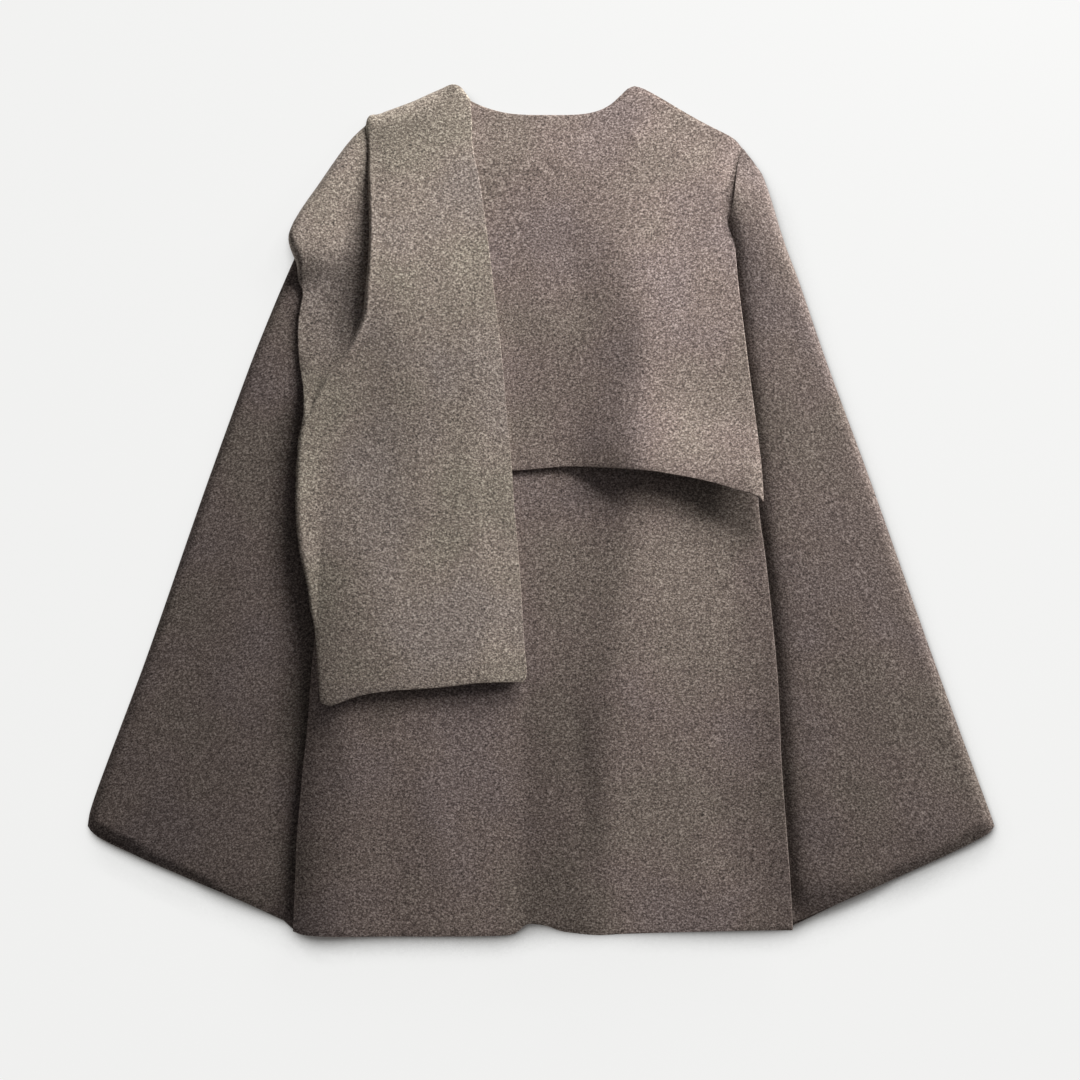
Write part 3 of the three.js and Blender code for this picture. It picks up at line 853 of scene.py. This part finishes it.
@dataclass
class SleeveLoft:
    """Height of a sleeve's front: flat where it is tucked in and at the overarm, domed between."""

    body_edge: Rows
    overarm: Rows
    loft: float
    inner_rise: float
    tilt: float  # share of the loft that is lost on the way to the overarm
    outer_fall: float = 2.6
    full_width: float = 45.0
    flat: float = 2.0  # width of the tucked strip beside the body's edge
    top: float = 825.0
    cuff_top: float = 110.5
    cuff_reach: float = 474.5
    head: float = 0.0  # how much fuller the sleeve is at its head
    head_at: float = 752.0
    head_length: float = 62.0
    creases: list[Crease] = field(default_factory=list)

    def under(self, x: Array, y: Array) -> Array:
        """Underside of the sleeve's front.

        Args:
            x: Where to read.
            y: Where to read.

        Returns:
            Millimetres above the table.
        """
        inner = np.abs(edge_at(self.body_edge, y)) + self.flat
        cuff = blend(inner, self.cuff_reach, np.maximum(y, 0) / self.cuff_top)
        outer = np.where(y > self.cuff_top, np.abs(edge_at(self.overarm, y)), cuff)
        inside = np.maximum(np.abs(x) - inner, 0)
        outside = np.maximum(outer - np.abs(x), 0)
        from_shoulder = smooth((self.top - y) / LAYERS.shoulder_ramp)
        from_cuff = np.where(y > self.cuff_top, 1, smooth((outer - inner) / self.cuff_top))
        dome = (1 - np.exp(-inside / self.inner_rise)) * (1 - np.exp(-outside / self.outer_fall))
        dome = dome * (1 - self.tilt * inside / np.maximum(inside + outside, 1))
        share = from_shoulder * from_cuff * dome * smooth((outer - inner) / self.full_width)
        relief = self.loft + sum(crease.rise(x, y) for crease in self.creases)
        relief = relief + self.head * np.exp(-(((y - self.head_at) / self.head_length) ** 2))
        return WALL + SEAM_GAP + share * relief


@dataclass
class CapeletDrape:
    """Height of the capelet: on the front, its hem flared, its edge turned down at the sleeve."""

    flare: float = 16.0  # how far the hem stands off the front
    flare_length: float = 66.0
    flare_rise: tuple[float, float] = (24, 92)
    flare_fall: tuple[float, float] = (214, 60)
    turn: float = 4.4  # how far its edge is turned down beside the sleeve head
    turn_width: float = 16.0
    turn_from: float = 690.0
    turn_length: float = 90.0
    creases: list[Crease] = field(
        default_factory=lambda: [
            Crease((22, 742), (44, 628), 22, -1.5),
            Crease((118, 690), (104, 590), 17, 0.8),
            Crease((176, 560), (158, 486), 20, -1.0),
        ]
    )

    def under(self, x: Array, y: Array) -> Array:
        """Underside of the capelet.

        Args:
            x: Where to read.
            y: Where to read.

        Returns:
            Millimetres above the table.
        """
        from_edge = edge_at(CAPELET_RIGHT_EDGE, y) - x
        above_hem = y - table_at(CAPELET_HEM, x)
        growing = smooth((x - self.flare_rise[0]) / self.flare_rise[1])
        dying = smooth((x - self.flare_fall[0]) / self.flare_fall[1])
        flare = self.flare * growing * (1 - dying) * np.exp(-((above_hem / self.flare_length) ** 2))
        at_head = smooth((y - self.turn_from) / self.turn_length)
        turn = self.turn * at_head * smooth(1 - from_edge / self.turn_width)
        relief = sum(crease.rise(x, y) for crease in self.creases)
        return LAYERS.body(x, y) + WALL + LAYER_GAP + flare - turn + relief


@dataclass
class Scarf(Cloth):
    """The scarf: a wing over the sleeve head and the main fall beside it, one cloth."""

    levels: tuple[float, float, float] = (800, 520, 260)  # the y at which the folds are given
    folds: list[Fold] = field(
        default_factory=lambda: [
            Fold((-256, -262, -247), (0, 8, 4), 4, (30, 22)),
            Fold((-130, -140, -150), (0, -1, 3.5), 20, (36, 50)),
            Fold((-85, -72, -62), (0.5, 3.5, 4), 24, (66, 24)),
        ]
    )
    creases: list[Crease] = field(
        default_factory=lambda: [
            Crease((-166, 452), (-136, 318), 20, -1.1),
            Crease((-62, 486), (-48, 392), 15, -0.8),
            Crease((-104, 764), (-92, 640), 18, 0.8),
        ]
    )
    loft: float = 16.0  # of the fall beside the crease, above the front
    loft_power: float = 2.2
    loft_from: float = 470.0
    loft_length: float = 230.0
    loft_top: float = 865.0
    loft_fade: float = 200.0
    loft_across: float = 0.85
    hem_lift: float = 3.6  # of the lower edge, at its right end
    hem_from: float = 330.0
    hem_length: float = 85.0
    hem_left: float = -150.0
    hem_width: float = 120.0
    roll: float = 18.0  # radius of the roll over the shoulder, of the fall
    roll_growth: float = 6.0  # how soon, across the fall, it is as large as that
    wing_roll: float = 12.0  # of the wing beside the crease
    tip_roll: float = 5.0  # of the wing at its free edge
    wing_crest: float = 14.5  # height of the wing near its free edge, above its valley
    wing_edge: float = 0.05
    wing_fall: float = 1.05
    wing_low: float = 674.0  # where the wing has come down to a plain slope
    wing_length: float = 44.0
    rim: float = 4.0  # width over which the left edge rounds down, below the wing
    rim_height: float = 0.8  # share of the scarf's height that the edge itself keeps
    rim_from: float = 590.0
    rim_length: float = 56.0
    wing_gap: float = LAYER_GAP + 0.4
    seam_rest: float = 2.0  # it stands up on the sewn edges at the shoulder
    seam_from: float = 815.0
    seam_length: float = 45.0
    crease_from: float = 668.0  # where the crease starts to open out
    crease_length: float = 96.0
    crease_width: float = 0.035
    crease_foot: float = 0.065
    hem_step: float = 95.0
    side_step: float = 60.0
    roll_end: float = 1.0
    neck_end: float = 10.5
    neck_from: float = -104.0
    neck_width: float = 16.0
    probe: float = 0.05
    rows: int = 128

    def opening(self, y: Array) -> Array:
        """How far the crease has opened out into a plain slope: 0 at the shoulder, 1 below."""
        return smooth((self.crease_from - y) / self.crease_length)

    def rest(self, x: Array, y: Array) -> Array:
        """Underside where the scarf lies on the front, or on the capelet where that is under it.

        Args:
            x: Where to read.
            y: Where to read.

        Returns:
            Millimetres above the table.
        """
        over_hem = smooth((y - table_at(CAPELET_HEM, x) + self.hem_step) / self.hem_step)
        over_edge = smooth((x - edge_at(CAPELET_LEFT_EDGE, y) + self.side_step) / self.side_step)
        step = over_hem * over_edge * (WALL + LAYER_GAP)
        over_seam = self.seam_rest * smooth((y - self.seam_from) / self.seam_length)
        return LAYERS.body(x, y) + WALL + LAYER_GAP + step + over_seam

    def wing_level(self, x: Array, y: Array) -> Array:
        """Height of the wing beside the crease."""
        return LAYERS.front(x, y) + WALL + self.wing_gap

    def fall_height(self, x: Array, y: Array, across: Array) -> Array:
        """Underside of the main fall.

        Args:
            x: Where to read.
            y: Where to read.
            across: Share of the way from the crease to the right edge.

        Returns:
            Millimetres above the table.
        """
        towards_neck = smooth((y - self.loft_from) / self.loft_length)
        towards_neck = towards_neck * smooth((self.loft_top - y) / self.loft_fade)
        falling = 1 - (1 - np.clip(across, 0, 1)) ** self.loft_power
        loft = self.loft * towards_neck * (1 - self.loft_across * falling)
        lift = self.hem_lift * smooth((self.hem_from - y) / self.hem_length)
        lift = lift * smooth((x - self.hem_left) / self.hem_width)
        relief = sum(fold.rise(self.levels, x, y) for fold in self.folds)
        relief = relief + sum(crease.rise(x, y) for crease in self.creases)
        level = self.rest(x, y) + loft + lift + relief
        step = (1 - self.opening(y)) * smooth(1 - across / self.crease_width)
        return blend(level, self.wing_level(x, y), step)

    def wing_height(self, x: Array, y: Array, across: Array) -> Array:
        """Underside of the wing.

        Args:
            x: Where to read.
            y: Where to read.
            across: Share of the way from the free edge to the crease.

        Returns:
            Millimetres above the table.
        """
        opening = self.opening(y)
        rounded = LAYERS.edge_share(LAYERS.edge_round * across / self.wing_edge)
        crest = self.wing_crest * (1 - across) ** self.wing_fall * rounded
        crest = crest * smooth((y - self.wing_low) / self.wing_length)
        beside = self.fall_height(x, y, np.zeros_like(across))
        from_rim = (x - edge_at(SCARF_LEFT_EDGE, y)) / self.rim
        rim_share = LAYERS.edge_share(LAYERS.edge_round * from_rim)
        high_rim = blend(self.rim_height, 1.0, rim_share)
        up = blend(across, high_rim, smooth((self.rim_from - y) / self.rim_length))
        return blend(self.wing_level(x, y) + crest, beside, opening * up)

    def part_row(
        self,
        patch: Patch,
        across: Array,
        radius: Array,
        height: Callable[[Array, Array, Array], Array],
        roll: float,
        down: float,
    ) -> Array:
        """One row of points of the wing or the fall.

        Args:
            patch: The part's outline.
            across: Shares of the way across the part.
            radius: Radius of its roll over the edge, by column.
            height: The part's height by x, y and across.
            roll: How far round the roll the row lies, or 1 past it.
            down: How far from the roll to the hem it lies.

        Returns:
            The row's points.
        """
        reach = np.hypot(*(patch.at(across, self.probe) - patch.at(across, 0.0)).T)
        share = radius * self.probe / reach
        flat = patch.at(across, roll * share if roll < 1 else blend(share, 1.0, down))
        x, y = flat[:, 0], flat[:, 1]
        end = blend(self.roll_end, self.neck_end, smooth((x - self.neck_from) / self.neck_width))
        arch = math.sqrt(1 - (1 - roll) ** 2)
        return np.column_stack([x, y, blend(end, height(x, y, across), arch)])

    def points(self) -> Array:
        """Underside of the whole scarf.

        Returns:
            Points: rows from the shoulder to the hem, columns from the free edge to the right one.
        """
        hem = Curve(SCARF_HEM)
        foot = hem.at(self.crease_foot)
        crease = Curve([*SCARF_CREASE, (float(foot[0]), float(foot[1]))])
        wing = Patch(
            Curve(SCARF_WING_TOP), Part(hem, 0, self.crease_foot), Curve(SCARF_LEFT_EDGE), crease
        )
        fall = Patch(
            Curve(SCARF_TOP), Part(hem, self.crease_foot, 1), crease, Curve(SCARF_RIGHT_EDGE)
        )
        rim = [0, 0.012, 0.03, 0.06, 0.1]
        wing_across = np.array([*rim, 0.2, 0.3, 0.4, 0.5, 0.6, 0.7, 0.79, 0.87, 0.94])
        near = [0, 0.006, 0.012, 0.018, 0.024, 0.03, 0.037, 0.046, 0.06, 0.08, 0.105, 0.13]
        fall_across = np.concatenate([near, np.linspace(0.16, 1, 36)])
        wing_radius = blend(self.tip_roll, self.wing_roll, wing_across)
        fall_radius = blend(self.wing_roll, self.roll, smooth(fall_across * self.roll_growth))
        around = [(roll, 0.0) for roll in (0, 0.02, 0.06, 0.12, 0.2, 0.31, 0.45, 0.6, 0.77, 1)]
        beyond = [(1.0, i / self.rows) for i in range(1, self.rows + 1)]
        rows = []
        for roll, down in [*around, *beyond]:
            left = self.part_row(wing, wing_across, wing_radius, self.wing_height, roll, down)
            right = self.part_row(fall, fall_across, fall_radius, self.fall_height, roll, down)
            rows.append(np.vstack([left, right]))
        return np.array(rows)


@dataclass(frozen=True)
class Lamp:
    """A soft square light that looks at the coat's middle."""

    name: str
    place: tuple[float, float, float]  # in metres
    size: float  # of its side, in metres
    power: float  # in watts

    def build(self) -> None:
        """Put the light in the room."""
        data = bpy.data.lights.new(self.name, "AREA")
        data.shape, data.size, data.energy = "SQUARE", self.size, self.power
        lamp = bpy.data.objects.new(self.name, data)
        bpy.context.scene.collection.objects.link(lamp)
        lamp.location = self.place
        lamp.rotation_mode = "QUATERNION"
        lamp.rotation_quaternion = (-Vector(self.place)).to_track_quat("-Z", "Y")


@dataclass
class Studio:
    """The pale table, the soft light and the camera straight above the coat."""

    picture_px: float = 1080.0
    mm_per_px: float = 1.05
    centre: tuple[float, float] = (-1.05, 410.55)  # of the picture, in the coat's frame
    level_mm: float = 5.0  # height above the table at which mm_per_px holds
    lens_mm: float = 135.0
    sensor_mm: float = 36.0
    lamps: tuple[Lamp, ...] = (
        Lamp("key", (2.6, 1.5, 0.95), 0.8, 90.0),
        Lamp("top", (0.6, 1.5, 0.5), 0.5, 38.0),
    )
    room_strength: float = 0.13
    floor_m: float = 12.0
    floor_drop_m: float = 0.0002  # below the coat, so that the two faces are apart
    floor_colour: str = "#eeeeed"
    shadow_colour: str = "#5a5856"  # of the soft shade below the hem and the cuffs
    shadow_m: float = 0.042  # how far it reaches
    shadow_from: tuple[float, float, float] = (-0.25, 0.88, 0.4)  # the way to what casts it
    shadow_open: tuple[float, float] = (0.5, 0.9)  # shares of open sky: full shade, no shade

    def floor(self) -> None:
        """A plain pale table top, with the coat's soft shade on the sides of hem and cuffs."""
        bpy.ops.object.select_all(action="DESELECT")
        bpy.ops.mesh.primitive_plane_add(size=self.floor_m, location=(0, 0, -self.floor_drop_m))
        floor = bpy.context.active_object
        floor.name = "table_top"
        material = bpy.data.materials.new("pale_paper")
        material.use_nodes = True
        tree = material.node_tree
        tree.nodes.clear()
        towards_coat = add_node(
            tree, "ShaderNodeCombineXYZ", dict(zip(("X", "Y", "Z"), self.shadow_from))
        )
        hidden = add_node(
            tree,
            "ShaderNodeAmbientOcclusion",
            {"samples": 16, "Distance": self.shadow_m},
            {"Normal": towards_coat.outputs["Vector"]},
        )
        open_share = add_node(
            tree,
            "ShaderNodeMapRange",
            dict(zip(("From Min", "From Max"), self.shadow_open)),
            {"Value": hidden.outputs["AO"]},
        )
        glow = add_node(
            tree,
            "ShaderNodeMix",
            {"data_type": "RGBA", 6: srgb(self.shadow_colour), 7: srgb(self.floor_colour)},
            {0: open_share.outputs["Result"]},
        )
        shader = add_node(
            tree,
            "ShaderNodeBsdfPrincipled",
            {"Base Color": srgb("#2a2a2a"), "Roughness": 0.9, "Emission Strength": 1.0},
            {"Emission Color": glow.outputs[2]},
        )
        add_node(tree, "ShaderNodeOutputMaterial", {}, {"Surface": shader.outputs["BSDF"]})
        floor.data.materials.append(material)
        floor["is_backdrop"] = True

    def camera(self) -> None:
        """A long lens straight above, so that the picture is the photograph's."""
        data = bpy.data.cameras.new("camera")
        data.lens, data.sensor_width = self.lens_mm, self.sensor_mm
        data.clip_end = 50.0
        camera = bpy.data.objects.new("camera", data)
        bpy.context.scene.collection.objects.link(camera)
        width = self.picture_px * self.mm_per_px * MM
        height = width * self.lens_mm / self.sensor_mm
        place = to_row(np.array([*self.centre, self.level_mm]))
        camera.location = Vector(place) + Vector((0, 0, height))
        bpy.context.scene.camera = camera

    def build(self) -> None:
        """Set up table, camera and lights."""
        self.floor()
        self.camera()
        for lamp in self.lamps:
            lamp.build()
        world = bpy.data.worlds.new("room")
        bpy.context.scene.world = world
        world.use_nodes = True
        sky = world.node_tree.nodes["Background"].inputs
        sky["Color"].default_value = srgb("#f4f4f6")
        sky["Strength"].default_value = self.room_strength
        bpy.context.scene.view_settings.view_transform = "Standard"


def make_back() -> Cloth:
    """The back: one flat piece with the sleeve backs.

    Returns:
        The piece, not yet built.
    """
    top = Run([(SHOULDER_LEFT, 0.22), (NECK, 0.75), (SHOULDER_RIGHT, 1.0)])
    bottom = Run([(CUFF_LEFT, 0.22), (HEM, 0.75), (CUFF_RIGHT[::-1], 1.0)])
    patch = Patch(top, bottom, Curve(OVERARM_LEFT), Curve(OVERARM_RIGHT))
    return Panel(
        "back",
        (0.949, 0.892),
        0.590,
        MelangeWool("melange_wool_back", grain=4.0, offset=(0.7, 0.2, 0.0)),
        ["table_top"],
        [],
        patch=patch,
        columns=np.linspace(0, 1, 101),
        rows=np.linspace(0, 1, 101),
        under=lambda x, y: np.zeros_like(x),
    )


def make_sleeve_left() -> Cloth:
    """The left sleeve's front, tucked under the front's left edge.

    Returns:
        The piece, not yet built.
    """
    patch = Patch(
        Curve([OVERARM_LEFT[0], SLEEVE_LEFT_INNER[0]]),
        Curve([*CUFF_LEFT[:-1], (-256, 6.5)]),
        Curve(OVERARM_LEFT),
        Curve(SLEEVE_LEFT_INNER),
    )
    creases = [Crease((-350, 318), (-398, 176), 20, -1.0), Crease((-300, 462), (-326, 356), 15, 0.8)]
    return Panel(
        "sleeve_front_left",
        (0.293, 0.823),
        0.114,
        # its wool is scaled darker as a whole: painted shade on the sleeve, beside what its nap does
        MelangeWool("melange_wool_left_sleeve", nap_and_painted_light=0.67, grain=-22.0, offset=(0.1, 1.3, 0.0)),
        ["back"],
        [Side.BOTTOM],
        patch=patch,
        columns=np.linspace(0, 1, 49),
        rows=np.linspace(0, 1, 141),
        under=SleeveLoft(FRONT_LEFT_EDGE, OVERARM_LEFT, 6.0, 50.0, 0.3, creases=creases).under,
    )


def make_sleeve_right() -> Cloth:
    """The right sleeve's front, tucked under the front's right edge.

    Returns:
        The piece, not yet built.
    """
    patch = Patch(
        Curve([SLEEVE_RIGHT_INNER[0], OVERARM_RIGHT[0]]),
        Curve([(259, 6), (366.5, 54.5), (469.5, 104), (474.5, 110.5)]),
        Curve(SLEEVE_RIGHT_INNER),
        Curve(OVERARM_RIGHT),
    )
    creases = [
        Crease((316, 372), (372, 196), 22, 1.2),
        Crease((286, 560), (304, 448), 14, -0.8),
        Crease((404, 236), (436, 142), 16, -1.0),
    ]
    return Panel(
        "sleeve_front_right",
        (0.289, 0.815),
        0.109,
        # its wool is scaled darker as a whole: painted shade on the sleeve, beside what its nap does
        MelangeWool("melange_wool_right_sleeve", nap_and_painted_light=0.76, grain=22.0, offset=(1.9, 0.6, 0.0)),
        ["back"],
        [Side.BOTTOM],
        patch=patch,
        columns=np.linspace(0, 1, 49),
        rows=np.linspace(0, 1, 141),
        under=SleeveLoft(
            FRONT_RIGHT_EDGE, OVERARM_RIGHT, 10.0, 8.0, 0.5, head=9.0, creases=creases
        ).under,
    )


def make_front() -> Cloth:
    """The front, on the back and on the tucked edges of both sleeves.

    Returns:
        The piece, not yet built.
    """
    roll = [0.0012, 0.0035, 0.007, 0.012, 0.02]
    top = [FRONT_LEFT_EDGE[0], (-165, 843), *FRONT_NECK_AND_SHOULDERS, (176, 843.5)]
    patch = Patch(
        Curve([*top, FRONT_RIGHT_EDGE[0]]),
        Curve(HEM),
        Curve(FRONT_LEFT_EDGE),
        Curve(FRONT_RIGHT_EDGE),
    )
    return Panel(
        "front",
        (0.525, 0.884),
        0.393,
        MelangeWool("melange_wool_front", grain=0.0),
        ["back", "sleeve_front_left", "sleeve_front_right"],
        [Side.BOTTOM],
        patch=patch,
        columns=spread(100, roll, []),
        rows=np.linspace(0, 1, 161),
        under=LAYERS.front,
    )


def make_capelet() -> Cloth:
    """The loose capelet over the right shoulder.

    Returns:
        The piece, not yet built.
    """
    top = [*FRONT_NECK_AND_SHOULDERS, (176.5, 845), (191, 838), (202.7, 831), CAPELET_RIGHT_EDGE[0]]
    patch = Patch(
        Curve(top), Curve(CAPELET_HEM), Curve(CAPELET_LEFT_EDGE), Curve(CAPELET_RIGHT_EDGE)
    )
    return Panel(
        "capelet",
        (0.381, 0.430),
        0.133,
        # its wool is scaled a little lighter as a whole: painted light on the capelet, beside what its
        # nap does
        MelangeWool("melange_wool_capelet", nap_and_painted_light=1.06, grain=-6.0, offset=(0.4, 2.1, 0.0)),
        ["front"],
        [Side.BOTTOM, Side.RIGHT],
        patch=patch,
        columns=spread(72, [], [0.0016, 0.005, 0.01, 0.017, 0.028]),
        rows=np.linspace(0, 1, 85),
        under=CapeletDrape().under,
    )


def make_scarf() -> Cloth:
    """The scarf panel over the left shoulder.

    Returns:
        The piece, not yet built.
    """
    return Scarf(
        "scarf",
        (0.249, 0.651),
        0.128,
        MelangeWool(
            "melange_wool_scarf",
            dark="#35322f",
            middle="#756d65",
            light="#bbb5a9",
            # its wool is scaled lighter as a whole: painted light on the scarf, beside what its nap
            # does
            nap_and_painted_light=1.3,
            grain=9.0,
            offset=(2.6, 0.9, 0.0),
        ),
        ["front", "capelet", "sleeve_front_left"],
        [Side.BOTTOM, Side.LEFT, Side.RIGHT],
        held="folded",
    )


def main() -> None:
    """Build the coat in the order in which its pieces lie on each other."""
    logging.basicConfig(level=logging.INFO, format="%(name)s: %(message)s")
    Studio().build()
    for make in (
        make_back,
        make_sleeve_left,
        make_sleeve_right,
        make_front,
        make_capelet,
        make_scarf,
    ):
        cloth = make()
        for piece in cloth.dress(cloth.build()):
            log.info("%s: %d faces", piece.name, len(piece.data.polygons))
    corners = [[list(corner) for corner in box] for box in (CAD_BOX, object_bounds())]


if __name__ == "__main__":
    main()
